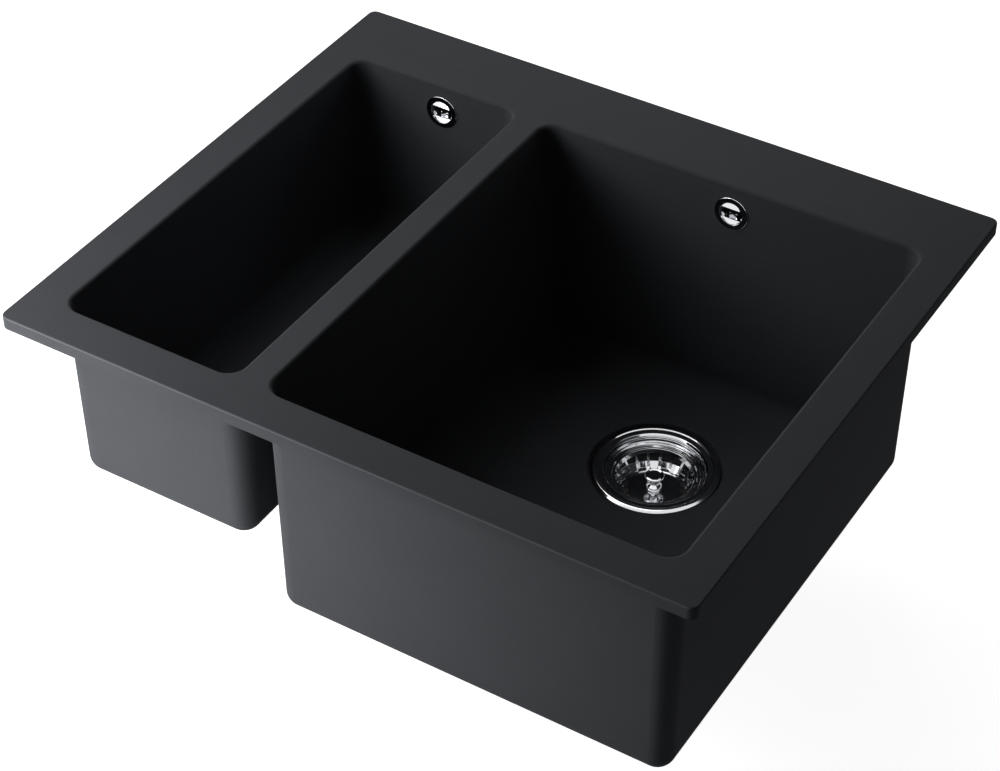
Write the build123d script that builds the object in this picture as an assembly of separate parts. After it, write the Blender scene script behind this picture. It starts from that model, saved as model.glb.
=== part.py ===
from build123d import *
import os
from math import radians, tan

# Drop-in composite kitchen sink: a narrow left bowl and a wide, deeper right bowl in one
# casting, each with a basket waste in its floor and an overflow in its back wall.
#
# Millimetres. +X is to the right, +Y to the back, +Z up. The origin is the middle of the rim's
# underside, so z = 0 is the top of the worktop that the rim lies on.

# ---- the casting --------------------------------------------------------------------------
RIM_WIDTH = 600.0
RIM_DEPTH = 510.0
RIM_THICKNESS = 11.0
RIM_CORNER_R = 7.0
RIM_EDGE_R = 1.4           # rounding of the rim's top edge
SEAL_LAND = 12.0           # flat land round the rim's underside that lies on the worktop
UNDERCUT = 1.0             # how far the underside steps up inside that land
SIDE_MARGIN = 33.2         # rim edge to bowl, left and right
FRONT_MARGIN = 35.1
REAR_DECK = 70.4           # plain shelf behind the bowls, where a tap goes
DIVIDER = 26.8             # between the two bowls, at the rim
SMALL_BOWL_WIDTH = 162.0
SMALL_BOWL_DEPTH = 161.0   # rim top to the edge of the floor
LARGE_BOWL_DEPTH = 217.0
SIDE_WALL = 3.2            # thickness of the walls just under the rim
FRONT_WALL = 2.8
BACK_WALL = 5.5            # takes the overflow
FLOOR = 7.5                # floor thickness at its edge
WASTE_PAD_T = 7.5          # round pad under the floor that takes the waste
WASTE_PAD_MARGIN = 3.0     # beyond the flange of the waste body
DRAFT = 1.0                # lean of every wall, degrees, inside
SHELL_DRAFT = 0.6          # and outside
MOUTH_EDGE_R = 3.0
BOWL_CORNER_R = 15.0       # upright inside corners
BOWL_FOOT_R = 18.0         # floor to wall, inside
SHELL_CORNER_R = 17.0      # upright outside corners
SHELL_FOOT_R = 14.0        # floor to wall, outside
FLOOR_FALL = 3.0           # how far each floor falls to its waste
RECESS_DEPTH = 3.0         # flange recess in the floor
RECESS_GAP = 2.0           # around the flange

# ---- the wastes ---------------------------------------------------------------------------
FITTINGS_OFFSET = 3.8      # wastes and overflows stand this far right of each bowl's middle
LARGE_WASTE_FROM_BACK = 114.0
SMALL_WASTE_FROM_BACK = 202.0
LARGE_FLANGE_R = 55.0
SMALL_FLANGE_R = 35.0
LARGE_HOLE_R = 45.0        # hole in the bowl's floor
SMALL_HOLE_R = 26.0
LARGE_MOUTH_R = 33.0       # mouth of the lift-out basket
SMALL_MOUTH_R = 16.5
LARGE_BASKET_FOOT_R = 26.0  # flat floor of the basket
SMALL_BASKET_FOOT_R = 12.5
LARGE_BASKET_DEPTH = 22.0  # flange crest to basket floor
SMALL_BASKET_DEPTH = 20.0
LARGE_CUP_FOOT = 6.0       # 45 degree foot between the cup's wall and its floor
SMALL_CUP_FOOT = 2.0
LARGE_SLOTS = 18
SMALL_SLOTS = 10
FLANGE_HEIGHT = 2.5        # crest of the flange over its own underside
FLANGE_EDGE_T = 1.1
FLANGE_ROLL = 2.6          # outer edge in to the crest
FLANGE_STEP_START = 5.4    # flange edge in to a small step in the flange
FLANGE_STEP_END = 6.2
FLANGE_STEP_DROP = 0.6
FLANGE_LIP = 1.4           # cup wall out to where the flange turns down into it
FLANGE_LIP_DROP = 1.1
CUP_TOP_DROP = 2.5         # crest down to the top of the cup's wall
FLANGE_SEAL_T = 1.5
HOLE_CLEARANCE = 1.0       # flange cup to the hole in the floor
STEEL = 1.2                # pressed sheet of the flange cup
BASKET_STEEL = 1.0
BASKET_RIM_T = 1.9         # rolled outer edge of the basket
BASKET_STEPS = (           # inside that edge: start and end as shares of the way in to the
    (0.12, 0.21, 1.8),     # mouth, and drop
    (0.35, 0.41, 1.4),
    (0.66, 0.75, 1.1),
)
LEDGE_DEPTH = 6.5          # ledge that the basket's rim rests on
LEDGE_WIDTH = 2.0
CUP_TAPER = 2.5            # how much the cup narrows below its ledge
OUTLET_HOLES = 8           # in the cup's floor
OUTLET_HOLE_SHARE = 0.72   # of the room between the screw and the stopper's edge
SLOT_TOP = 12.0            # below the flange crest
SLOT_REACH = 4.0           # how far the slots run in over the basket's floor
RIB_ROOT = 3.4             # width of a basket rib at the floor and at the rim
RIB_TIP = 1.4
RIB_TURN = 9.0             # how far round from +X the first rib stands, degrees
LARGE_KNOB_R = 8.2
SMALL_KNOB_R = 6.4
KNOB_DROP = 7.7            # flange crest to the top of the knob
KNOB_T = 2.4
KNOB_CONE = 2.6            # height of the cone under the cap
NECK_R = 3.4
FOOT_R = 6.8               # rounded foot of the knob's post
FOOT_HEIGHT = 5.0
STEM_R = 2.0
STEM_NUT_R = 4.4
STEM_NUT_T = 1.8
STOPPER_T = 9.0
STOPPER_LIP_T = 3.0
STOPPER_HOLLOW_R = 7.5
STOPPER_EDGE_GAP = 1.6     # stopper edge to the bottom of the cup wall
RUNNING_GAP = 0.3          # between pieces that move past each other
THREAD_GAP = 0.1           # between a screw, pipe or stem and its hole
SCREW_R = 3.0              # centre screw, M6
SCREW_HEAD_R = 5.5
SCREW_HEAD_T = 3.0
SCREW_NUT_R = 5.8
SCREW_NUT_T = 5.0

# ---- the plastic bodies under the bowls -------------------------------------------------
BODY_SEAL_T = 3.0
BODY_FLANGE_WIDTH = 12.0   # beyond the hole in the floor
BODY_FLANGE_T = 4.0
BODY_WALL = 2.5
BODY_ROOM = 1.5            # steel cup to the inside of the body
OUTLET_R = 23.9            # over the thread of a 1 1/2 inch spigot
OUTLET_BORE_R = 20.0
OUTLET_LENGTH = 20.0
BOSS_R = 7.0
SPIDER_T = 3.0
SPIDER_ARMS = 4
SPIDER_HEIGHT = 10.0
BRANCH_R = 15.0            # over the thread of the overflow inlet
BRANCH_LENGTH = 20.0
BRANCH_DROP = 17.0         # body flange to the inlet's axis

# ---- the overflows --------------------------------------------------------------------------
OVERFLOW_DROP = 27.0       # rim top to the overflow's axis
OVERFLOW_HOLE_R = 11.0
COVER_R = 15.4
COVER_DISC_R = 10.0
COVER_T = 2.0
VANE_TILT = 28.0           # the disc's two halves lean, so that water runs into the slot
UPPER_VANE_EDGE = 0.3      # how far each half stands out of the seat at its upper edge
LOWER_VANE_EDGE = -0.4
VANE_PLATE = 0.5           # thickness of the disc behind its two halves
COVER_SEAT_DEPTH = 0.8     # flat seat cut into the leaning wall
OVERFLOW_SEAL_T = 1.5
COVER_GROOVE = 0.4
COVER_SLOT = 11.2
COVER_SPIGOT_T = 1.4
COVER_SPIGOT_LENGTH = 4.6
BRIDGE_WIDTH = 7.0         # strip behind the slot that takes the screw
BRIDGE_SINK = 3.4          # from the cover's seat back to the strip
BRIDGE_T = 1.2
COVER_SCREW_R = 2.0
COVER_SCREW_HEAD_R = 3.3
COVER_SCREW_HEAD_T = 1.2
COVER_SCREW_LENGTH = 26.0
PAD_R = 14.5               # flat pad cast on the back of the wall
PAD_HEIGHT = 1.2
ELBOW_FLANGE_R = 14.2
ELBOW_FLANGE_T = 2.5
ELBOW_R = 13.0
ELBOW_WALL = 2.5
ELBOW_LENGTH = 25.0
ELBOW_DROP = 34.0          # overflow axis to the bottom of the elbow's socket
ELBOW_BOSS_R = 4.4
PIPE_R = 10.0
PIPE_WALL = 1.5
SOCKET_DEPTH = 16.0
BEND_R = 18.0              # centreline radius of the bend under the bowl
INLET_NUT_R = 19.0
INLET_NUT_LENGTH = 15.0
INLET_NUT_LIP = 3.0
INLET_NUT_SIDES = 12
INLET_WASHER_T = 3.0

# ---- worked out from the values above -------------------------------------------------------
LEAN = tan(radians(DRAFT))
SHELL_LEAN = tan(radians(SHELL_DRAFT))
BOWL_FRONT = FRONT_MARGIN - RIM_DEPTH / 2
BOWL_BACK = RIM_DEPTH / 2 - REAR_DECK
SMALL_LEFT = SIDE_MARGIN - RIM_WIDTH / 2
SMALL_RIGHT = SMALL_LEFT + SMALL_BOWL_WIDTH
LARGE_LEFT = SMALL_RIGHT + DIVIDER
LARGE_RIGHT = RIM_WIDTH / 2 - SIDE_MARGIN
OVERFLOW_Z = RIM_THICKNESS - OVERFLOW_DROP
BORE_R = PIPE_R - PIPE_WALL
SOCKET_R = PIPE_R + THREAD_GAP
COVER_SEAT_Y = BOWL_BACK - OVERFLOW_DROP * LEAN + COVER_SEAT_DEPTH
INSET_AT_UNDERCUT = (RIM_THICKNESS - UNDERCUT) * LEAN
SHELL_BACK = BOWL_BACK - INSET_AT_UNDERCUT + BACK_WALL
PAD_Y = SHELL_BACK + (OVERFLOW_Z - UNDERCUT) * SHELL_LEAN + PAD_HEIGHT
ELBOW_Y = PAD_Y + OVERFLOW_SEAL_T
PIPE_Y = ELBOW_Y + ELBOW_LENGTH / 2
COVER_SPIGOT_R = OVERFLOW_HOLE_R - HOLE_CLEARANCE / 2


class Bowl:
    """Plan and depth of one bowl, with the places and sizes of its waste."""

    def __init__(self, name, left, right, depth, from_back, flange_r, hole_r, mouth_r,
                 foot_r, basket_depth, cup_foot, knob_r, slots):
        self.name = name
        self.left = left
        self.right = right
        self.depth = depth
        self.flange_r = flange_r
        self.hole_r = hole_r
        self.mouth_r = mouth_r
        self.foot_r = foot_r
        self.cup_foot = cup_foot
        self.knob_r = knob_r
        self.slots = slots
        self.floor_z = RIM_THICKNESS - depth
        self.under_z = self.floor_z - FLOOR
        self.pad_z = self.under_z - WASTE_PAD_T
        self.seat_z = self.floor_z - FLOOR_FALL - RECESS_DEPTH
        self.crest_z = self.seat_z + FLANGE_SEAL_T + FLANGE_HEIGHT
        self.axis_x = (left + right) / 2 + FITTINGS_OFFSET
        self.axis_y = BOWL_BACK - from_back
        # heights below are measured from the flange crest, as every part of the waste is
        self.under = self.pad_z - self.crest_z
        self.cup_r = hole_r - HOLE_CLEARANCE - STEEL
        self.cup_outer_r = hole_r - HOLE_CLEARANCE
        self.cup_low_r = self.cup_r - LEDGE_WIDTH - CUP_TAPER
        self.basket_floor = -basket_depth
        self.stopper_top = self.basket_floor - BASKET_STEEL - RUNNING_GAP
        self.cup_floor = self.stopper_top - STOPPER_T - RUNNING_GAP
        self.stopper_r = self.cup_low_r - cup_foot - STOPPER_EDGE_GAP
        self.body_inner_r = self.cup_outer_r + BODY_ROOM
        self.body_outer_r = self.body_inner_r + BODY_WALL
        self.body_top = self.under - BODY_SEAL_T
        self.branch_z = self.body_top - BODY_FLANGE_T - BRANCH_DROP
        self.body_floor = min(self.branch_z - BRANCH_R, self.cup_floor - SPIDER_HEIGHT)
        self.outlet_z = self.body_floor - BODY_WALL - OUTLET_LENGTH
        self.pipe_z = self.crest_z + self.branch_z


SMALL = Bowl("small", SMALL_LEFT, SMALL_RIGHT, SMALL_BOWL_DEPTH, SMALL_WASTE_FROM_BACK,
             SMALL_FLANGE_R, SMALL_HOLE_R, SMALL_MOUTH_R, SMALL_BASKET_FOOT_R,
             SMALL_BASKET_DEPTH, SMALL_CUP_FOOT, SMALL_KNOB_R, SMALL_SLOTS)
LARGE = Bowl("large", LARGE_LEFT, LARGE_RIGHT, LARGE_BOWL_DEPTH, LARGE_WASTE_FROM_BACK,
             LARGE_FLANGE_R, LARGE_HOLE_R, LARGE_MOUTH_R, LARGE_BASKET_FOOT_R,
             LARGE_BASKET_DEPTH, LARGE_CUP_FOOT, LARGE_KNOB_R, LARGE_SLOTS)
BOWLS = (SMALL, LARGE)


# ---- shapes that repeat ---------------------------------------------------------------------
def turned(*outline):
    """Solid turned about Z from (radius, height, corner rounding) points."""
    path = FilletPolyline(*[(r, z) for r, z, _ in outline],
                          radius=[c for _, _, c in outline], close=True)
    return revolve(make_face(Plane.XZ * path), Axis.Z, 360)


def ring(outer_r, inner_r, bottom, height):
    """Plain ring about Z, standing on the height given by bottom."""
    return Pos(0, 0, bottom) * extrude(Circle(outer_r) - Circle(inner_r), height)


def rod(radius, bottom, height):
    """Plain cylinder about Z, standing on the height given by bottom."""
    return Pos(0, 0, bottom) * extrude(Circle(radius), height)


def along_y(shape, x, y, z):
    """A shape made about Z, laid so that its +Z points to the back, at a place."""
    return Pos(x, y, z) * Rot(-90, 0, 0) * shape


def leaning_box(left, right, front, back, top, depth, draft, corner_r, foot_r):
    """Block whose walls lean in as they go down, with round corners and a round foot."""
    middle = Pos((left + right) / 2, (front + back) / 2, top)
    plan = middle * RectangleRounded(right - left, back - front, corner_r)
    block = extrude(plan, amount=depth, dir=(0, 0, -1), taper=draft)
    return fillet(block.faces().sort_by(Axis.Z)[0].edges(), foot_r)


# ---- the casting ----------------------------------------------------------------------------
def floor_fall(bowl):
    """Shallow pyramid cut that lets the floor fall to the waste from all four sides."""
    inset = bowl.depth * LEAN + BOWL_FOOT_R
    corners = [(bowl.left + inset, BOWL_FRONT + inset), (bowl.right - inset, BOWL_FRONT + inset),
               (bowl.right - inset, BOWL_BACK - inset), (bowl.left + inset, BOWL_BACK - inset)]
    base = [Vector(x, y, bowl.floor_z) for x, y in corners]
    apex = Vector(bowl.axis_x, bowl.axis_y, bowl.floor_z - FLOOR_FALL)
    faces = [Face(Wire.make_polygon(base))]
    for start, end in zip(base, base[1:] + base[:1]):
        faces.append(Face(Wire.make_polygon([start, end, apex])))
    return Solid(Shell(faces))


def shell(bowl):
    """Outside of one bowl, under the rim."""
    side = SIDE_WALL - INSET_AT_UNDERCUT
    front = BOWL_FRONT - FRONT_WALL + INSET_AT_UNDERCUT
    return leaning_box(bowl.left - side, bowl.right + side, front, SHELL_BACK, UNDERCUT,
                       UNDERCUT - bowl.under_z, SHELL_DRAFT, SHELL_CORNER_R, SHELL_FOOT_R)


def hollow(bowl):
    """Inside of one bowl, from the rim's top down to its floor."""
    return leaning_box(bowl.left, bowl.right, BOWL_FRONT, BOWL_BACK,
                       RIM_THICKNESS, bowl.depth, DRAFT, BOWL_CORNER_R, BOWL_FOOT_R)


def waste_pad(bowl):
    """Round pad under the floor that the waste is clamped to."""
    radius = bowl.hole_r + BODY_FLANGE_WIDTH + WASTE_PAD_MARGIN
    return Pos(bowl.axis_x, bowl.axis_y, 0) * rod(radius, bowl.pad_z, WASTE_PAD_T + FLOOR / 5)


def sink_body():
    rim = extrude(RectangleRounded(RIM_WIDTH, RIM_DEPTH, RIM_CORNER_R), RIM_THICKNESS)
    rim = fillet(rim.faces().sort_by(Axis.Z)[-1].edges(), RIM_EDGE_R)
    rim -= extrude(RectangleRounded(RIM_WIDTH - 2 * SEAL_LAND, RIM_DEPTH - 2 * SEAL_LAND,
                                    RIM_CORNER_R), UNDERCUT)
    casting = rim + [shell(bowl) for bowl in BOWLS]
    casting -= [hollow(bowl) for bowl in BOWLS]
    casting += [waste_pad(bowl) for bowl in BOWLS]
    top = casting.faces().sort_by(Axis.Z)[-1]
    mouths = [edge for wire in top.inner_wires() for edge in wire.edges()]
    casting = fillet(mouths, MOUTH_EDGE_R)
    for bowl in BOWLS:
        axis = Pos(bowl.axis_x, bowl.axis_y, 0)
        casting -= floor_fall(bowl)
        casting -= axis * rod(bowl.flange_r + RECESS_GAP, bowl.seat_z, RECESS_DEPTH + FLOOR_FALL)
        casting -= axis * rod(bowl.hole_r, bowl.pad_z - 1, WASTE_PAD_T + FLOOR + 2)
        casting += along_y(rod(PAD_R, -BACK_WALL / 2, BACK_WALL / 2), bowl.axis_x, PAD_Y, OVERFLOW_Z)
        seat = rod(COVER_R + RUNNING_GAP, -COVER_T, COVER_T)
        casting -= along_y(seat, bowl.axis_x, COVER_SEAT_Y, OVERFLOW_Z)
        hole = rod(OVERFLOW_HOLE_R, -BACK_WALL, 3 * BACK_WALL)
        casting -= along_y(hole, bowl.axis_x, COVER_SEAT_Y, OVERFLOW_Z)
    return casting


# ---- the wastes, each made about its own axis with z = 0 at the flange crest ---------------
def flange(bowl):
    """Steel flange and cup in one pressing, with outlet holes round the screw."""
    edge = bowl.flange_r
    cup = bowl.cup_r
    low = bowl.cup_low_r
    foot = bowl.cup_foot
    floor = bowl.cup_floor
    hole = SCREW_R + THREAD_GAP
    pressing = turned(
        (edge, -FLANGE_HEIGHT, 0.4), (edge, -FLANGE_HEIGHT + FLANGE_EDGE_T, 0.8),
        (edge - FLANGE_ROLL, 0, 1.8), (edge - FLANGE_STEP_START, 0, 0.3),
        (edge - FLANGE_STEP_END, -FLANGE_STEP_DROP, 0.3),
        (cup + FLANGE_LIP, -FLANGE_LIP_DROP, 0.5), (cup, -CUP_TOP_DROP, 0.4),
        (cup, -LEDGE_DEPTH, 0.3), (cup - LEDGE_WIDTH, -LEDGE_DEPTH, 0.4), (low, floor + foot, 1.0),
        (low - foot, floor, 1.0),
        (hole, floor, 0), (hole, floor - STEEL, 0), (low - foot + STEEL / 2, floor - STEEL, 1.5),
        (low + STEEL, floor + foot - STEEL / 2, 1.5),
        (cup - LEDGE_WIDTH + STEEL, -LEDGE_DEPTH - STEEL, 0.6),
        (cup + STEEL, -LEDGE_DEPTH - STEEL, 0.8), (cup + STEEL, -FLANGE_HEIGHT, 0))
    room = bowl.stopper_r - SCREW_HEAD_R
    hole_r = OUTLET_HOLE_SHARE * room / 4
    centre_r = SCREW_HEAD_R + room / 2
    holes = PolarLocations(centre_r, OUTLET_HOLES) * rod(hole_r, floor - 2 * STEEL, 3 * STEEL)
    return pressing - holes


def flange_seal(bowl):
    return ring(bowl.flange_r - 1, bowl.hole_r + 0.5, -FLANGE_HEIGHT - FLANGE_SEAL_T,
                FLANGE_SEAL_T)


def basket(bowl):
    """Pressed basket: rim in three steps, ribbed wall between slots, and a flat floor."""
    rim = bowl.cup_r - RUNNING_GAP
    mouth = bowl.mouth_r
    foot = bowl.foot_r
    seat = -LEDGE_DEPTH + RUNNING_GAP
    floor = bowl.basket_floor
    t = BASKET_STEEL
    inside_ledge = bowl.cup_r - LEDGE_WIDTH - RUNNING_GAP
    level = seat + BASKET_RIM_T
    top = [(rim, seat, 0.3), (rim, level, 0.5)]
    underside = [(inside_ledge, seat, 0), (inside_ledge, seat - t, 0.3)]
    for start, end, drop in BASKET_STEPS:
        start_r = rim - start * (rim - mouth)
        end_r = rim - end * (rim - mouth)
        top += [(start_r, level, 0.25), (end_r, level - drop, 0.25)]
        if start_r < inside_ledge - t:
            underside.append((start_r + t / 2, level - t, 0.2))
        if end_r < inside_ledge - t / 2:
            underside.append((end_r + t / 2, level - drop - t, 0.2))
        level -= drop
    top += [(mouth + 0.6, level - 0.2, 0.4), (foot, floor, 1.0), (STEM_R, floor, 0),
            (STEM_R, floor - t, 0), (foot + t / 2, floor - t, 1.8), (mouth + 0.6 + t, level - t, 0.5)]
    pressing = turned(*top, *reversed(underside))
    below = floor - 2 * t
    inner = foot - SLOT_REACH
    outer = mouth + 2 * t
    band = ring(outer, inner, below, -SLOT_TOP - below)
    rib = make_face(Polyline((inner - 1, -RIB_ROOT / 2), (outer + 1, -RIB_TIP / 2),
                             (outer + 1, RIB_TIP / 2), (inner - 1, RIB_ROOT / 2), close=True))
    rib = Pos(0, 0, below - 1) * extrude(rib, -SLOT_TOP - below + 2)
    ribs = PolarLocations(0, bowl.slots, start_angle=RIB_TURN) * rib
    return pressing - (band - ribs)


def post(bowl):
    """Rounded foot and neck in one turning, with the stem below the basket's floor."""
    floor = bowl.basket_floor
    under_knob = -KNOB_DROP - KNOB_T - KNOB_CONE
    stem_end = bowl.stopper_top - STOPPER_T / 2
    return turned(
        (0, stem_end, 0), (STEM_R, stem_end, 0.3), (STEM_R, floor, 0), (FOOT_R - 0.4, floor, 0.3),
        (FOOT_R, floor + FOOT_HEIGHT / 2, 1.4), (NECK_R + 0.2, floor + FOOT_HEIGHT, 1.6),
        (NECK_R, under_knob, 0), (0, under_knob, 0))


def knob(bowl):
    """Round cap with a softly dished top and a cone under it."""
    edge = bowl.knob_r
    top = -KNOB_DROP
    under = top - KNOB_T
    return turned(
        (0, under - KNOB_CONE, 0), (NECK_R + 0.6, under - KNOB_CONE, 0.3),
        (edge - 2.2, under, 0.8), (edge, under + 0.6, 0.4), (edge, top - 0.5, 0.5),
        (edge - 1.2, top, 0.5), (edge - 2.4, top - 0.5, 1.0), (0, top - 0.7, 0))


def stopper(bowl):
    """Rubber disc under the basket that covers the outlet holes when the basket is down."""
    top = bowl.stopper_top
    bottom = top - STOPPER_T
    edge = bowl.stopper_r
    bore = STEM_R + RUNNING_GAP
    web = top - STOPPER_T / 4
    return turned(
        (bore, top, 0), (FOOT_R + 2.0, top, 0.8), (FOOT_R + 5.0, bottom + STOPPER_LIP_T + 0.6, 1.5),
        (edge, bottom + STOPPER_LIP_T, 1.0), (edge, bottom, 0.8), (STOPPER_HOLLOW_R, bottom, 0.4),
        (STOPPER_HOLLOW_R, web, 0.4), (bore, web, 0))


def stem_nut(bowl):
    top = bowl.stopper_top - STOPPER_T / 4 - RUNNING_GAP
    return ring(STEM_NUT_R, STEM_R + THREAD_GAP, top - STEM_NUT_T, STEM_NUT_T)


def centre_screw(bowl):
    """Clamps the flange cup down to the plastic body."""
    floor = bowl.cup_floor
    head = turned((0, floor, 0), (SCREW_HEAD_R, floor, 0.3),
                  (SCREW_HEAD_R, floor + SCREW_HEAD_T, 1.2), (0, floor + SCREW_HEAD_T, 0))
    slot = Pos(0, 0, floor + SCREW_HEAD_T) * Box(2 * SCREW_HEAD_R + 1, 1.4, 2.4)
    end = bowl.body_floor - SCREW_NUT_T - SCREW_R / 3
    return (head - slot) + rod(SCREW_R, end, floor - end)


def centre_nut(bowl):
    """Brass hexagon nut held under the boss of the plastic body."""
    top = bowl.body_floor
    hexagon = RegularPolygon(SCREW_NUT_R, 6) - Circle(SCREW_R + THREAD_GAP)
    return Pos(0, 0, top - SCREW_NUT_T) * extrude(hexagon, SCREW_NUT_T)


def body_seal(bowl):
    return ring(bowl.hole_r + BODY_FLANGE_WIDTH - 1, bowl.hole_r + 1, bowl.body_top, BODY_SEAL_T)


def waste_body(bowl):
    """Plastic body under the bowl: flange, chamber, overflow inlet, spider and threaded outlet."""
    outer = bowl.body_outer_r
    inner = bowl.body_inner_r
    top = bowl.body_top
    floor = bowl.body_floor
    flange_r = bowl.hole_r + BODY_FLANGE_WIDTH
    body = turned(
        (0, floor - BODY_WALL, 0), (outer, floor - BODY_WALL, 4.0),
        (outer, top - BODY_FLANGE_T, 1.5), (flange_r, top - BODY_FLANGE_T, 0.6),
        (flange_r, top, 0.6), (0, top, 0))
    body += along_y(rod(BRANCH_R, 0, outer + BRANCH_LENGTH), 0, 0, bowl.branch_z)
    body += rod(OUTLET_R, bowl.outlet_z, floor - bowl.outlet_z)
    body -= turned((0, floor, 0), (inner, floor, 2.5), (inner, top + 1, 0), (0, top + 1, 0))
    body -= rod(OUTLET_BORE_R, bowl.outlet_z - 1, floor - bowl.outlet_z + 2)
    body -= along_y(rod(BORE_R, 0, 2 * outer), 0, 0, bowl.branch_z)
    socket = rod(SOCKET_R, outer + BRANCH_LENGTH - SOCKET_DEPTH, 2 * SOCKET_DEPTH)
    body -= along_y(socket, 0, 0, bowl.branch_z)
    arm = Pos(OUTLET_BORE_R / 2 + 1, 0, floor - SPIDER_HEIGHT / 2) * Box(
        OUTLET_BORE_R + 2, SPIDER_T, SPIDER_HEIGHT)
    boss_top = bowl.cup_floor - STEEL
    body += PolarLocations(0, SPIDER_ARMS) * arm
    body += rod(BOSS_R, floor - SPIDER_HEIGHT, boss_top - floor + SPIDER_HEIGHT)
    under_boss = floor - 2 * SPIDER_HEIGHT
    body -= rod(SCREW_R + THREAD_GAP, under_boss, boss_top + 1 - under_boss)
    pocket = RegularPolygon(SCREW_NUT_R + THREAD_GAP, 6)
    body -= Pos(0, 0, floor - SPIDER_HEIGHT - 1) * extrude(pocket, SPIDER_HEIGHT + 1)
    return body


WASTE_PIECES = {
    "flange": flange, "flange_seal": flange_seal, "basket": basket, "basket_post": post,
    "basket_knob": knob, "stopper": stopper, "stem_nut": stem_nut, "centre_screw": centre_screw,
    "centre_nut": centre_nut, "body_seal": body_seal, "waste_body": waste_body,
}


# ---- the overflows ----------------------------------------------------------------------
def vane(top, edge):
    """Half of the cover's disc: starts at a height, standing out by edge, and leans out below."""
    height = COVER_DISC_R - COVER_SLOT / 2
    reach = edge + height * tan(radians(VANE_TILT))
    side = make_face(Plane.YZ * Polyline((top, VANE_PLATE), (top, -edge), (top + height, -reach),
                                         (top + height, VANE_PLATE), close=True))
    block = Pos(-COVER_DISC_R, 0, 0) * extrude(side, 2 * COVER_DISC_R, dir=(1, 0, 0))
    return block & rod(COVER_DISC_R, -3 * COVER_T, 4 * COVER_T)


def overflow_cover(bowl):
    """Round cover in the back wall: ring, two leaning vanes, centring spigot and bridge."""
    front = -COVER_T
    spigot = COVER_SPIGOT_R
    groove = COVER_DISC_R + COVER_GROOVE
    cover = turned(
        (groove, 0, 0), (groove, front, 0.2), (COVER_R - 0.2, front, 0.35), (COVER_R, 0, 0.2))
    plate = rod(groove, 0, VANE_PLATE) + ring(spigot, spigot - COVER_SPIGOT_T, 0,
                                              COVER_SPIGOT_LENGTH)
    cover += plate - Box(2 * spigot - 2 * COVER_SPIGOT_T, COVER_SLOT, 2 * COVER_T)
    cover += [vane(-COVER_DISC_R, UPPER_VANE_EDGE), vane(COVER_SLOT / 2, LOWER_VANE_EDGE)]
    bridge = Box(BRIDGE_WIDTH, 2 * spigot - COVER_SPIGOT_T, BRIDGE_T)
    cover += Pos(0, 0, BRIDGE_SINK + BRIDGE_T / 2) * bridge
    cover -= rod(COVER_SCREW_R + THREAD_GAP, 0, 3 * COVER_T)
    return along_y(cover, bowl.axis_x, COVER_SEAT_Y, OVERFLOW_Z)


def overflow_screw(bowl):
    """Slotted screw through the bridge into the elbow's boss."""
    top = -COVER_SCREW_HEAD_T
    edge = COVER_SCREW_HEAD_R
    head = turned((0, 0, 0), (0, top, 0), (edge, top, 0.5), (edge, 0, 0.2))
    head -= Pos(0, 0, top) * Box(2 * edge + 1, 0.9, COVER_SCREW_HEAD_T)
    screw = head + rod(COVER_SCREW_R, 0, COVER_SCREW_LENGTH - BRIDGE_SINK)
    return along_y(screw, bowl.axis_x, COVER_SEAT_Y + BRIDGE_SINK, OVERFLOW_Z)


def overflow_seal(bowl):
    return along_y(ring(ELBOW_FLANGE_R - 0.5, OVERFLOW_HOLE_R, 0, OVERFLOW_SEAL_T),
                   bowl.axis_x, PAD_Y, OVERFLOW_Z)


def overflow_elbow(bowl):
    """Plastic elbow behind the wall: chamber across it, socket down for the pipe."""
    inner = ELBOW_R - ELBOW_WALL
    place = (bowl.axis_x, ELBOW_Y, OVERFLOW_Z)
    down = Pos(bowl.axis_x, PIPE_Y, OVERFLOW_Z)
    elbow = along_y(rod(ELBOW_FLANGE_R, 0, ELBOW_FLANGE_T) + rod(ELBOW_R, 0, ELBOW_LENGTH), *place)
    elbow += down * rod(ELBOW_LENGTH / 2, -ELBOW_DROP, ELBOW_DROP)
    elbow -= along_y(rod(inner, -1, ELBOW_LENGTH - ELBOW_WALL + 1), *place)
    elbow -= down * rod(BORE_R, -ELBOW_DROP - 1, ELBOW_DROP + 1)
    elbow -= down * rod(SOCKET_R, -ELBOW_DROP - 1, SOCKET_DEPTH + 1)
    boss = rod(ELBOW_BOSS_R, ELBOW_WALL, ELBOW_LENGTH - ELBOW_WALL - 1)
    elbow += along_y(boss, *place)
    return elbow - along_y(rod(COVER_SCREW_R + THREAD_GAP, -1, ELBOW_LENGTH - ELBOW_WALL), *place)


def overflow_downpipe(bowl):
    top = OVERFLOW_Z - ELBOW_DROP + SOCKET_DEPTH
    bottom = bowl.pipe_z + BEND_R
    return Pos(bowl.axis_x, PIPE_Y, 0) * ring(PIPE_R, BORE_R, bottom, top - bottom)


def overflow_bend(bowl):
    """Quarter bend with a socket at each end, between the two pipes."""
    outer = PIPE_R + ELBOW_WALL
    centre = Pos(bowl.axis_x, PIPE_Y - BEND_R, bowl.pipe_z + BEND_R)
    pivot = Axis((0, 0, 0), (-1, 0, 0))

    def quarter(section):
        return revolve(Pos(0, BEND_R, 0) * section, pivot, 90)

    upright = Pos(0, BEND_R, 0)
    bend = quarter(Circle(outer)) + upright * rod(outer, 0, SOCKET_DEPTH)
    bend += along_y(rod(outer, -SOCKET_DEPTH, SOCKET_DEPTH), 0, 0, -BEND_R)
    bend -= quarter(Circle(BORE_R))
    bend -= upright * rod(SOCKET_R, 0, SOCKET_DEPTH + 1)
    bend -= along_y(rod(SOCKET_R, -SOCKET_DEPTH - 1, SOCKET_DEPTH + 1), 0, 0, -BEND_R)
    return centre * bend


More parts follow.
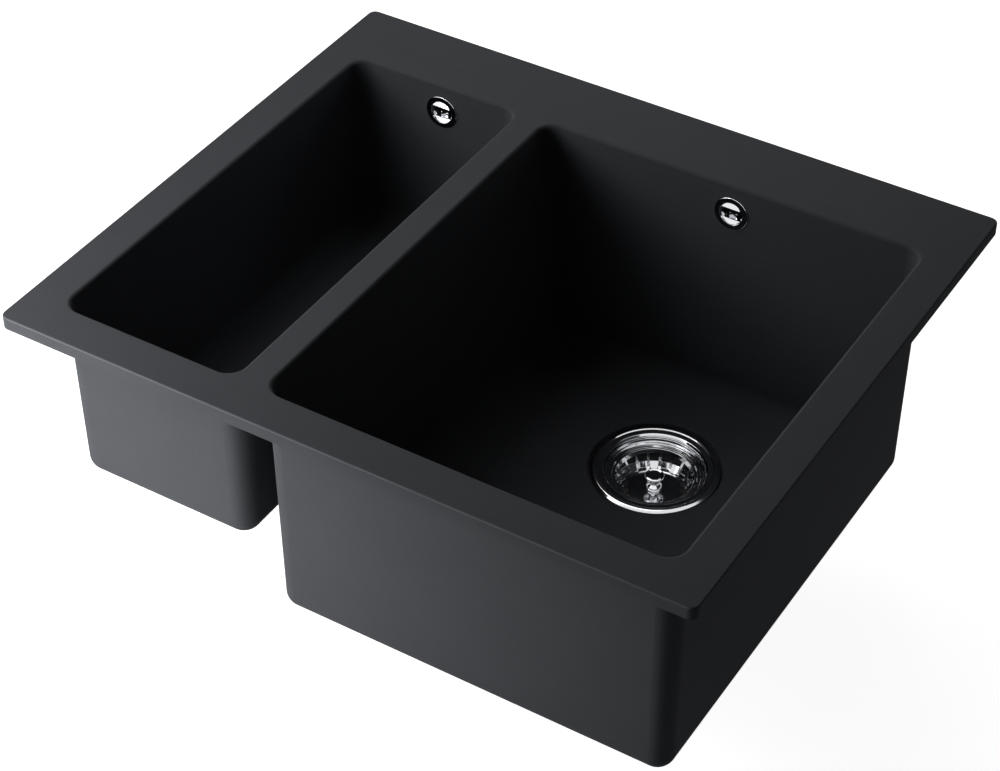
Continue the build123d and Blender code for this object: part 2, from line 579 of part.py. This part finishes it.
def overflow_crosspipe(bowl):
    front = bowl.axis_y + bowl.body_outer_r + BRANCH_LENGTH - SOCKET_DEPTH
    back = PIPE_Y - BEND_R
    return along_y(ring(PIPE_R, BORE_R, 0, back - front), bowl.axis_x, front, bowl.pipe_z)


def inlet_end(bowl):
    """Y of the open end of the waste body's overflow inlet."""
    return bowl.axis_y + bowl.body_outer_r + BRANCH_LENGTH


def overflow_washer(bowl):
    return along_y(ring(BRANCH_R - 0.5, SOCKET_R, 0, INLET_WASHER_T),
                   bowl.axis_x, inlet_end(bowl), bowl.pipe_z)


def overflow_nut(bowl):
    """Coupling nut over the inlet's thread, closed down to the pipe behind the washer."""
    outside = extrude(RegularPolygon(INLET_NUT_R, INLET_NUT_SIDES), INLET_NUT_LENGTH)
    deep = INLET_NUT_LENGTH - INLET_NUT_LIP
    nut = outside - rod(BRANCH_R + THREAD_GAP, -1, deep + 1)
    nut -= rod(SOCKET_R, 0, INLET_NUT_LENGTH + 1)
    start = inlet_end(bowl) + INLET_WASHER_T - deep
    return along_y(nut, bowl.axis_x, start, bowl.pipe_z)


OVERFLOW_PIECES = {
    "cover": overflow_cover, "screw": overflow_screw, "seal": overflow_seal,
    "elbow": overflow_elbow, "downpipe": overflow_downpipe, "bend": overflow_bend,
    "crosspipe": overflow_crosspipe, "washer": overflow_washer, "nut": overflow_nut,
}


def build():
    """Every piece of the sink by name, in its place."""
    pieces = {"sink_body": sink_body()}
    for bowl in BOWLS:
        axis = Pos(bowl.axis_x, bowl.axis_y, bowl.crest_z)
        for name, make in WASTE_PIECES.items():
            pieces[f"{bowl.name}_{name}"] = axis * make(bowl)
        for name, make in OVERFLOW_PIECES.items():
            pieces[f"{bowl.name}_overflow_{name}"] = make(bowl)
    return pieces


os.makedirs("parts", exist_ok=True)
for node, shape in build().items():
    export_step(shape, f"parts/{node}.step")
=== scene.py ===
import math

import bpy
from mathutils import Matrix, Vector


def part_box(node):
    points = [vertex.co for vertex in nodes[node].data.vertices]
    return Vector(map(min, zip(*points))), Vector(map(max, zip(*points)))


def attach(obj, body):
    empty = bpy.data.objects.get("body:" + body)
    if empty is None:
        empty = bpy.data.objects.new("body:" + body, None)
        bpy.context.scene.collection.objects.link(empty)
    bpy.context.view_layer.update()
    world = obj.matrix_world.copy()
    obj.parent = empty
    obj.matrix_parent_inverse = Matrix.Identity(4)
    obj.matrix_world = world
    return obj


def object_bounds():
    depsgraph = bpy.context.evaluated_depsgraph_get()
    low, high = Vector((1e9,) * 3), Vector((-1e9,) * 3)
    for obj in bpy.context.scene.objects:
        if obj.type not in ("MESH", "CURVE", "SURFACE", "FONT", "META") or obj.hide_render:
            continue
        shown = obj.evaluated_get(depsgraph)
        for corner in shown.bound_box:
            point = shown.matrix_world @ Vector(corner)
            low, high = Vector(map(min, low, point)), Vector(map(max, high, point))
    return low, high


# The looks of a double bowl composite sink with its two basket wastes and overflows.
# Metres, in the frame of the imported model: z = 0 is the worktop under the rim.

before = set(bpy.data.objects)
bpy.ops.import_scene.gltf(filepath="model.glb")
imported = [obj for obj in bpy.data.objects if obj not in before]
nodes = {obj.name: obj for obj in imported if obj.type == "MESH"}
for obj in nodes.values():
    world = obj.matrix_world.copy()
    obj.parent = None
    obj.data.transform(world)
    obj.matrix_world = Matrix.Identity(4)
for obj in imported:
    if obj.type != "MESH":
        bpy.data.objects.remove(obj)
cad_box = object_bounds()
lowest, highest = cad_box
BOWLS = ("small", "large")


# ---- camera ---------------------------------------------------------------------------------
CAMERA_PLACE = Vector((0.81086, -1.32615, 1.21174))
CAMERA_AZIMUTH = 31.763      # degrees; 0 looks along +Y
CAMERA_ELEVATION = 40.385    # degrees above the rim
CAMERA_ROLL = -0.163
CAMERA_LENS = 90.903         # millimetres, on a 36 mm wide sensor
SENSOR_WIDTH = 36.0
NEAREST_SEEN = 0.05
FARTHEST_SEEN = 50.0


def photograph_camera():
    """Camera at the place from which the sink was photographed."""
    around = math.radians(CAMERA_AZIMUTH)
    up = math.radians(CAMERA_ELEVATION)
    back = Vector((math.sin(around) * math.cos(up), -math.cos(around) * math.cos(up), math.sin(up)))
    right = Vector((math.cos(around), math.sin(around), 0))
    turn = Matrix((right, back.cross(right), back)).transposed()
    turn = turn @ Matrix.Rotation(math.radians(CAMERA_ROLL), 3, "Z")
    data = bpy.data.cameras.new("photograph_camera")
    data.lens = CAMERA_LENS
    data.sensor_width = SENSOR_WIDTH
    data.clip_start = NEAREST_SEEN
    data.clip_end = FARTHEST_SEEN
    camera = bpy.data.objects.new("photograph_camera", data)
    camera.matrix_world = Matrix.Translation(CAMERA_PLACE) @ turn.to_4x4()
    bpy.context.scene.collection.objects.link(camera)
    bpy.context.scene.camera = camera


photograph_camera()
bpy.context.scene.view_settings.view_transform = "Standard"


# ---- node helpers ---------------------------------------------------------------------------
def add(tree, kind, inputs=(), **settings):
    """A node in a tree. Each input takes a plain value or the socket that feeds it."""
    node = tree.nodes.new("ShaderNode" + kind)
    for name, value in settings.items():
        setattr(node, name, value)
    for name, value in dict(inputs).items():
        if isinstance(value, bpy.types.NodeSocket):
            tree.links.new(value, node.inputs[name])
        else:
            node.inputs[name].default_value = value
    return node


def spread(tree, value, low, high):
    """A noise value between 0 and 1, stretched over a plain range."""
    stretched = add(tree, "MapRange", {"Value": value, "To Min": low, "To Max": high})
    return stretched.outputs["Result"]


def worked_out(tree, operation, *values):
    """One step of arithmetic on plain values or sockets."""
    return add(tree, "Math", dict(enumerate(values)), operation=operation).outputs["Value"]


def times(tree, a, b):
    return worked_out(tree, "MULTIPLY", a, b)


def plus(tree, a, b):
    return worked_out(tree, "ADD", a, b)


def tinted(tree, colour, shade):
    """A plain colour, darker or lighter by a shade that changes over the surface."""
    scaled = add(tree, "VectorMath", {0: colour, "Scale": shade}, operation="SCALE")
    return scaled.outputs["Vector"]


def effect(name, inputs, outputs):
    """An empty shader node group with its sockets, and its two end nodes."""
    group = bpy.data.node_groups.new(name, "ShaderNodeTree")
    for label, value in inputs.items():
        socket = group.interface.new_socket(label, in_out="INPUT", socket_type="NodeSocketFloat")
        socket.default_value = value
    for label in outputs:
        group.interface.new_socket(label, in_out="OUTPUT", socket_type="NodeSocketFloat")
    return group, group.nodes.new("NodeGroupInput"), group.nodes.new("NodeGroupOutput")


def grain_noise(tree, scale, detail=2.0, roughness=0.5, stretch=None):
    """Noise fixed to the piece, so that it moves with it."""
    place = add(tree, "TexCoord").outputs["Object"]
    if stretch is not None:
        stretched = add(tree, "VectorMath", {0: place, 1: stretch}, operation="MULTIPLY")
        place = stretched.outputs["Vector"]
    noise = add(tree, "TexNoise", {"Vector": place, "Scale": scale, "Detail": detail,
                                   "Roughness": roughness})
    return noise.outputs["Fac"]


# ---- effects that several finishes use ------------------------------------------------------
def mineral_grain():
    """Quartz grains in resin: fine speckle, soft cloudiness, and the small pits between grains."""
    group, given, made = effect(
        "mineral_grain", {"Grain": 1500.0, "Speckle": 0.3, "Cloud": 0.1},
        ("Shade", "Roughness", "Height"))
    fine = grain_noise(group, given.outputs["Grain"], detail=3.0, roughness=0.62)
    cloud = grain_noise(group, 26.0, detail=3.0)
    speckle = times(group, spread(group, fine, -1.0, 1.0), given.outputs["Speckle"])
    clouding = times(group, spread(group, cloud, -1.0, 1.0), given.outputs["Cloud"])
    shade = plus(group, plus(group, speckle, clouding), 1.0)
    group.links.new(shade, made.inputs["Shade"])
    group.links.new(spread(group, fine, -0.06, 0.06), made.inputs["Roughness"])
    group.links.new(fine, made.inputs["Height"])
    return group


def handling_marks():
    """Faint wipe marks and hairlines on polished metal."""
    group, given, made = effect(
        "handling_marks", {"Wipes": 40.0, "Hairlines": 900.0}, ("Wipe", "Hairline"))
    wipe = grain_noise(group, given.outputs["Wipes"], detail=4.0, roughness=0.6)
    hairline = grain_noise(group, given.outputs["Hairlines"], stretch=(1.0, 0.08, 0.3))
    group.links.new(wipe, made.inputs["Wipe"])
    group.links.new(hairline, made.inputs["Hairline"])
    return group


def moulded_skin():
    """Moulded plastic and rubber: a fine spark-eroded texture and slow flow shading."""
    group, given, made = effect(
        "moulded_skin", {"Texture": 900.0, "Flow": 18.0}, ("Shade", "Roughness", "Height"))
    texture = grain_noise(group, given.outputs["Texture"], detail=1.0)
    flow = grain_noise(group, given.outputs["Flow"], detail=2.0)
    shade = plus(group, spread(group, flow, 0.94, 1.04), spread(group, texture, -0.02, 0.02))
    group.links.new(shade, made.inputs["Shade"])
    group.links.new(spread(group, flow, -0.05, 0.07), made.inputs["Roughness"])
    group.links.new(texture, made.inputs["Height"])
    return group


MINERAL_GRAIN = mineral_grain()
HANDLING_MARKS = handling_marks()
MOULDED_SKIN = moulded_skin()


# ---- finishes -------------------------------------------------------------------------------
CHARCOAL = (0.0615, 0.0642, 0.0698)
COMPOSITE_ROUGHNESS = 0.74
COMPOSITE_GLOSS = 0.02       # specular level: the resin hardly shines
GRAIN_RELIEF = 0.00005
RIM_EDGE_R = 0.0016          # the rounding of the rim's outer edge, a little over its radius
EDGE_HIGHLIGHT_PAINTED = 0.9           # painted highlight: how much paler the middle of that rounding is painted


def finish(name):
    """A new material, its tree and its surface shader."""
    material = bpy.data.materials.new(name)
    material.use_nodes = True
    tree = material.node_tree
    return material, tree, tree.nodes["Principled BSDF"]


def placed(tree, group, **values):
    """An effect in a finish, with this finish's own values."""
    node = tree.nodes.new("ShaderNodeGroup")
    node.node_tree = group
    for label, value in values.items():
        node.inputs[label].default_value = value
    return node.outputs


def bumped(tree, height, distance):
    """Normals of a surface raised by a height between 0 and 1, times a distance in metres."""
    bump = add(tree, "Bump", {"Height": height, "Distance": distance, "Strength": 1.0})
    return bump.outputs["Normal"]


def rim_edge_painted_highlight(tree):
    """Where the painted highlight goes: 1 in the middle of the rounding along the rim's outer edge,
    fading to 0 beside it.
    """
    place = add(tree, "TexCoord").outputs["Object"]
    place = add(tree, "SeparateXYZ", {"Vector": place}).outputs
    beyond = []
    for axis, reach in (("X", highest.x), ("Y", highest.y)):
        out = worked_out(tree, "ABSOLUTE", place[axis])
        beyond.append(worked_out(tree, "GREATER_THAN", out, reach - RIM_EDGE_R))
    on_edge = worked_out(tree, "MAXIMUM", *beyond)
    normal = add(tree, "NewGeometry").outputs["Normal"]
    up = add(tree, "SeparateXYZ", {"Vector": normal}).outputs["Z"]
    slope = times(tree, up, worked_out(tree, "SUBTRACT", 1.0, up))    # 1/4 in the middle
    highlight_mask = times(tree, on_edge, times(tree, slope, 4.0))
    return add(tree, "Clamp", {"Value": highlight_mask}).outputs["Result"]


def mineral_composite():
    """Matt charcoal quartz composite, moulded face up, with a painted highlight along the middle of
    the rim's rounded outer edge.
    """
    material, tree, surface = finish("mineral_composite")
    grain = placed(tree, MINERAL_GRAIN, Grain=1500.0, Speckle=0.3, Cloud=0.05)
    # painted highlight: the rim's rounded outer edge is made paler in colour, standing in for a
    # lamp's reflection there
    painted_highlight = plus(tree, times(tree, rim_edge_painted_highlight(tree), EDGE_HIGHLIGHT_PAINTED), 1.0)
    shade = times(tree, grain["Shade"], painted_highlight)
    tree.links.new(tinted(tree, CHARCOAL, shade), surface.inputs["Base Color"])
    tree.links.new(plus(tree, grain["Roughness"], COMPOSITE_ROUGHNESS), surface.inputs["Roughness"])
    tree.links.new(bumped(tree, grain["Height"], GRAIN_RELIEF), surface.inputs["Normal"])
    surface.inputs["Specular IOR Level"].default_value = COMPOSITE_GLOSS
    return material


def polished_metal(name, colour, roughness, wipes=0.05, hairlines=0.000004):
    """Metal with faint wipe marks, and hairlines raised by a height in metres."""
    material, tree, surface = finish(name)
    marks = placed(tree, HANDLING_MARKS)
    tree.links.new(tinted(tree, colour, spread(tree, marks["Wipe"], 0.95, 1.03)),
                   surface.inputs["Base Color"])
    tree.links.new(spread(tree, marks["Wipe"], roughness - wipes / 2, roughness + wipes / 2),
                   surface.inputs["Roughness"])
    tree.links.new(bumped(tree, marks["Hairline"], hairlines), surface.inputs["Normal"])
    surface.inputs["Metallic"].default_value = 1.0
    return material


def moulded(name, colour, roughness, relief=0.00003):
    """Moulded plastic or rubber."""
    material, tree, surface = finish(name)
    skin = placed(tree, MOULDED_SKIN)
    tree.links.new(tinted(tree, colour, skin["Shade"]), surface.inputs["Base Color"])
    tree.links.new(plus(tree, skin["Roughness"], roughness), surface.inputs["Roughness"])
    tree.links.new(bumped(tree, skin["Height"], relief), surface.inputs["Normal"])
    return material


COMPOSITE = mineral_composite()
POLISHED_STEEL = polished_metal("polished_steel", (0.72, 0.73, 0.75), 0.09)
CHROME = polished_metal("chrome", (0.80, 0.81, 0.83), 0.05)
TURNED_STEEL = polished_metal("turned_steel", (0.58, 0.58, 0.59), 0.28, wipes=0.1,
                              hairlines=0.00002)
BLACKENED_STEEL = polished_metal("blackened_steel", (0.03, 0.03, 0.032), 0.4, wipes=0.1)
BRASS = polished_metal("brass", (0.70, 0.52, 0.26), 0.3, wipes=0.1, hairlines=0.00002)
RUBBER = moulded("rubber", (0.025, 0.025, 0.027), 0.62)
WASTE_PLASTIC = moulded("waste_plastic", (0.74, 0.74, 0.72), 0.42)
ELBOW_PLASTIC = moulded("elbow_plastic", (0.03, 0.03, 0.031), 0.45)
PIPE_PLASTIC = moulded("pipe_plastic", (0.80, 0.80, 0.79), 0.3, relief=0.00001)
NUT_PLASTIC = moulded("nut_plastic", (0.68, 0.68, 0.66), 0.45)

FINISHES = {
    "sink_body": COMPOSITE, "flange": POLISHED_STEEL, "flange_seal": RUBBER,
    "basket": POLISHED_STEEL, "basket_post": CHROME, "basket_knob": CHROME, "stopper": RUBBER,
    "stem_nut": TURNED_STEEL, "centre_screw": TURNED_STEEL, "centre_nut": BRASS,
    "body_seal": RUBBER, "waste_body": WASTE_PLASTIC, "overflow_cover": CHROME,
    "overflow_screw": BLACKENED_STEEL, "overflow_seal": RUBBER, "overflow_elbow": ELBOW_PLASTIC,
    "overflow_downpipe": PIPE_PLASTIC, "overflow_bend": WASTE_PLASTIC,
    "overflow_crosspipe": PIPE_PLASTIC, "overflow_washer": RUBBER, "overflow_nut": NUT_PLASTIC,
}


def give_finishes():
    """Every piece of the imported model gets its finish."""
    for name, piece in nodes.items():
        kind = name if name in FINISHES else name.split("_", 1)[1]
        piece.data.materials.clear()
        piece.data.materials.append(FINISHES[kind])


give_finishes()


# ---- threads and webs on the moulded bodies, too fine for the solids --------------------------
OUTLET_R = 0.0239
OUTLET_LENGTH = 0.020
INLET_R = 0.0150
INLET_LENGTH = 0.0095        # thread left bare between the body and its coupling nut
INLET_START = 0.0005         # from the chamber's wall to the thread
THREAD_PITCH = 0.00231       # eleven threads to the inch
THREAD_HEIGHT = 0.0006
THREAD_SINK = 0.0001         # how far the foot of the ridge lies in the spigot
THREAD_FOOT_HALF = 0.42      # half widths of the ridge, in pitches
THREAD_CREST_HALF = 0.12
THREAD_STEPS = 72            # to a turn
THREAD_END_GAP = 0.001       # plain length at each end of the outlet
WEB_THICKNESS = 0.0024
WEB_HEIGHT = 0.012
WEB_TIP = 0.002              # height of a web at its outer end
WEB_SETBACK = 0.0015         # from the flange's edge
WEB_SINK = 0.001             # how far a web lies in the chamber's wall
WEB_TOP_SINK = 0.0005        # how far it lies in the flange
BODY_WALLS = {"small": 0.029, "large": 0.048}      # radius of each chamber
BODY_FLANGE_WIDTH = 0.009
BODY_FLANGE_T = 0.004
WEB_ANGLES = (-150, -90, -30, 30, 150)             # degrees; none where the inlet is


def new_piece(name, points, faces, finish_used):
    """A mesh that rides on the sink."""
    mesh = bpy.data.meshes.new(name)
    mesh.from_pydata(points, [], faces)
    mesh.update()
    mesh.materials.append(finish_used)
    piece = bpy.data.objects.new(name, mesh)
    bpy.context.scene.collection.objects.link(piece)
    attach(piece, "sink")
    return piece


def thread(name, start, along, radius, length, finish_used):
    """Helical ridge on a round spigot, run out to nothing at both ends."""
    along = Vector(along)
    across = along.orthogonal().normalized()
    beside = along.cross(across)
    turns = length / THREAD_PITCH - 1
    steps = round(turns * THREAD_STEPS)
    points, faces = [], []
    for step in range(steps + 1):
        angle = 2 * math.pi * step / THREAD_STEPS
        out = math.cos(angle) * across + math.sin(angle) * beside
        middle = Vector(start) + along * THREAD_PITCH * (0.5 + step / THREAD_STEPS)
        full = min(1.0, 2 * step / THREAD_STEPS, 2 * (steps - step) / THREAD_STEPS)
        foot = radius - THREAD_SINK
        crest = radius + THREAD_HEIGHT * full
        for shift, reach in ((-THREAD_FOOT_HALF, foot), (-THREAD_CREST_HALF, crest),
                             (THREAD_CREST_HALF, crest), (THREAD_FOOT_HALF, foot)):
            points.append(middle + along * THREAD_PITCH * shift + out * reach)
    for step in range(steps):
        a, b = 4 * step, 4 * step + 4
        for k in range(4):
            n = (k + 1) % 4
            faces.append((a + k, a + n, b + n, b + k))
    last = 4 * steps
    faces += [(3, 2, 1, 0), (last, last + 1, last + 2, last + 3)]
    return new_piece(name, points, faces, finish_used)


def centre(node):
    """Middle of a node's box."""
    low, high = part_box(node)
    return [(low[axis] + high[axis]) / 2 for axis in range(3)]


def flange_webs(name, bowl):
    """Tapering webs under the clamping flange of a waste body."""
    x, y, _ = centre(f"{bowl}_centre_screw")
    axis = Vector((x, y, 0))
    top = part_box(f"{bowl}_waste_body")[1].z - BODY_FLANGE_T + WEB_TOP_SINK
    inner = BODY_WALLS[bowl] - WEB_SINK
    outer = BODY_WALLS[bowl] + BODY_FLANGE_WIDTH - WEB_SETBACK
    points, faces = [], []
    for angle in WEB_ANGLES:
        out = Vector((math.cos(math.radians(angle)), math.sin(math.radians(angle)), 0))
        side = Vector((-out.y, out.x, 0)) * WEB_THICKNESS / 2
        first = len(points)
        for edge in (-side, side):
            for reach, height in ((inner, top), (outer, top), (outer, top - WEB_TIP),
                                  (inner, top - WEB_HEIGHT)):
                points.append(axis + out * reach + edge + Vector((0, 0, height)))
        faces += [(first, first + 1, first + 2, first + 3),
                  (first + 7, first + 6, first + 5, first + 4)]
        for k in range(4):
            n = (k + 1) % 4
            faces.append((first + k, first + 4 + k, first + 4 + n, first + n))
    return new_piece(name, points, faces, WASTE_PLASTIC)


def dress_waste_body(bowl):
    """Threads on the outlet and the overflow inlet of a waste body, and its webs."""
    x, y, _ = centre(f"{bowl}_centre_screw")
    outlet_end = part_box(f"{bowl}_waste_body")[0].z
    thread(f"{bowl}_outlet_thread", (x, y, outlet_end + THREAD_END_GAP), (0, 0, 1), OUTLET_R,
           OUTLET_LENGTH - 2 * THREAD_END_GAP, WASTE_PLASTIC)
    inlet_z = centre(f"{bowl}_overflow_washer")[2]
    thread(f"{bowl}_inlet_thread", (x, y + BODY_WALLS[bowl] + INLET_START, inlet_z), (0, 1, 0),
           INLET_R, INLET_LENGTH, WASTE_PLASTIC)
    flange_webs(f"{bowl}_flange_webs", bowl)


for bowl in BOWLS:
    dress_waste_body(bowl)


# ---- floor, surroundings and lamps -----------------------------------------------------------
FLOOR_SIZE = 12.0
FLOOR_COLOUR = (0.8, 0.8, 0.8, 1.0)
FLOOR_LIFT = 0.92            # white added to the floor where the camera or a mirror sees it
SURROUND_COLOUR = (1.0, 1.0, 1.0, 1.0)
SURROUND_STRENGTH = 0.01     # light of the white studio on the sink


def seen_directly(tree):
    """1 for rays from the camera, from a mirror or through glass, and 0 for light on surfaces."""
    path = add(tree, "LightPath").outputs
    seen = plus(tree, plus(tree, path["Is Camera Ray"], path["Is Glossy Ray"]),
                path["Is Transmission Ray"])
    return add(tree, "Clamp", {"Value": seen}).outputs["Result"]


def pale_floor():
    """Pale matt floor under the sink, white where it is seen."""
    material = bpy.data.materials.new("pale_floor")
    material.use_nodes = True
    tree = material.node_tree
    tree.nodes.clear()
    paint = add(tree, "BsdfDiffuse", {"Color": FLOOR_COLOUR}).outputs["BSDF"]
    white = add(tree, "Emission", {"Color": SURROUND_COLOUR,
                                   "Strength": times(tree, seen_directly(tree), FLOOR_LIFT)})
    both = add(tree, "AddShader", {0: paint, 1: white.outputs["Emission"]}).outputs["Shader"]
    add(tree, "OutputMaterial", {"Surface": both})
    half = FLOOR_SIZE / 2
    mesh = bpy.data.meshes.new("floor")
    mesh.from_pydata([(-half, -half, 0), (half, -half, 0), (half, half, 0), (-half, half, 0)],
                     [], [(0, 1, 2, 3)])
    mesh.materials.append(material)
    floor = bpy.data.objects.new("floor", mesh)
    floor.location.z = lowest.z
    bpy.context.scene.collection.objects.link(floor)


def white_studio():
    """White where it is seen, dim as light on the sink."""
    world = bpy.data.worlds.new("white_studio")
    world.use_nodes = True
    tree = world.node_tree
    tree.nodes.clear()
    dim = add(tree, "Background", {"Color": SURROUND_COLOUR, "Strength": SURROUND_STRENGTH})
    white = add(tree, "Background", {"Color": SURROUND_COLOUR, "Strength": 1.0})
    mix = add(tree, "MixShader", {0: seen_directly(tree), 1: dim.outputs["Background"],
                                  2: white.outputs["Background"]})
    add(tree, "OutputWorld", {"Surface": mix.outputs["Shader"]})
    bpy.context.scene.world = world


def lamp(name, place, aim, size, watts):
    """Square soft lamp at a place, turned to a point."""
    data = bpy.data.lights.new(name, "AREA")
    data.shape = "SQUARE"
    data.size = size
    data.energy = watts
    light = bpy.data.objects.new(name, data)
    light.location = place
    light.rotation_mode = "QUATERNION"
    light.rotation_quaternion = (Vector(aim) - Vector(place)).to_track_quat("-Z", "Y")
    light.visible_camera = False
    bpy.context.scene.collection.objects.link(light)


SINK_MIDDLE = (0, 0, -0.05)
FRONT_CORNER = (-0.12, -0.2, -0.08)
LAMPS = {
    # name: place, the point it is turned to, side of its square, watts
    "left": ((-0.525, -0.303, 0.35), SINK_MIDDLE, 0.35, 0.93),
    "left_far": ((-1.126, 0.0, 0.65), SINK_MIDDLE, 0.6, 3.39),
    "left_high": ((-0.7, 0.0, 1.212), SINK_MIDDLE, 0.6, 2.40),
    "back_left": ((-0.563, 0.975, 0.65), SINK_MIDDLE, 0.6, 1.61),
    "back_left_high": ((-0.325, 0.563, 1.126), SINK_MIDDLE, 0.6, 1.51),
    "back": ((0.0, 0.679, 0.169), SINK_MIDDLE, 0.35, 0.51),
    "front_left_low": ((-0.342, -0.593, -0.146), SINK_MIDDLE, 0.35, 1.06),
    "front_left_far": ((-0.65, -0.95, 0.3), FRONT_CORNER, 0.22, 1.24),
    "front_left_high": ((-0.4, -0.5, 0.3), FRONT_CORNER, 0.22, 0.56),
    "front_left": ((-0.4, -0.5, 0.08), FRONT_CORNER, 0.22, 0.78),
    "front_corner_low": ((-0.4, -0.5, -0.12), FRONT_CORNER, 0.22, 0.50),
    "front_low": ((-0.15, -0.5, -0.12), FRONT_CORNER, 0.22, 0.43),
}

pale_floor()
white_studio()
for name, facts in LAMPS.items():
    lamp(name, *facts)
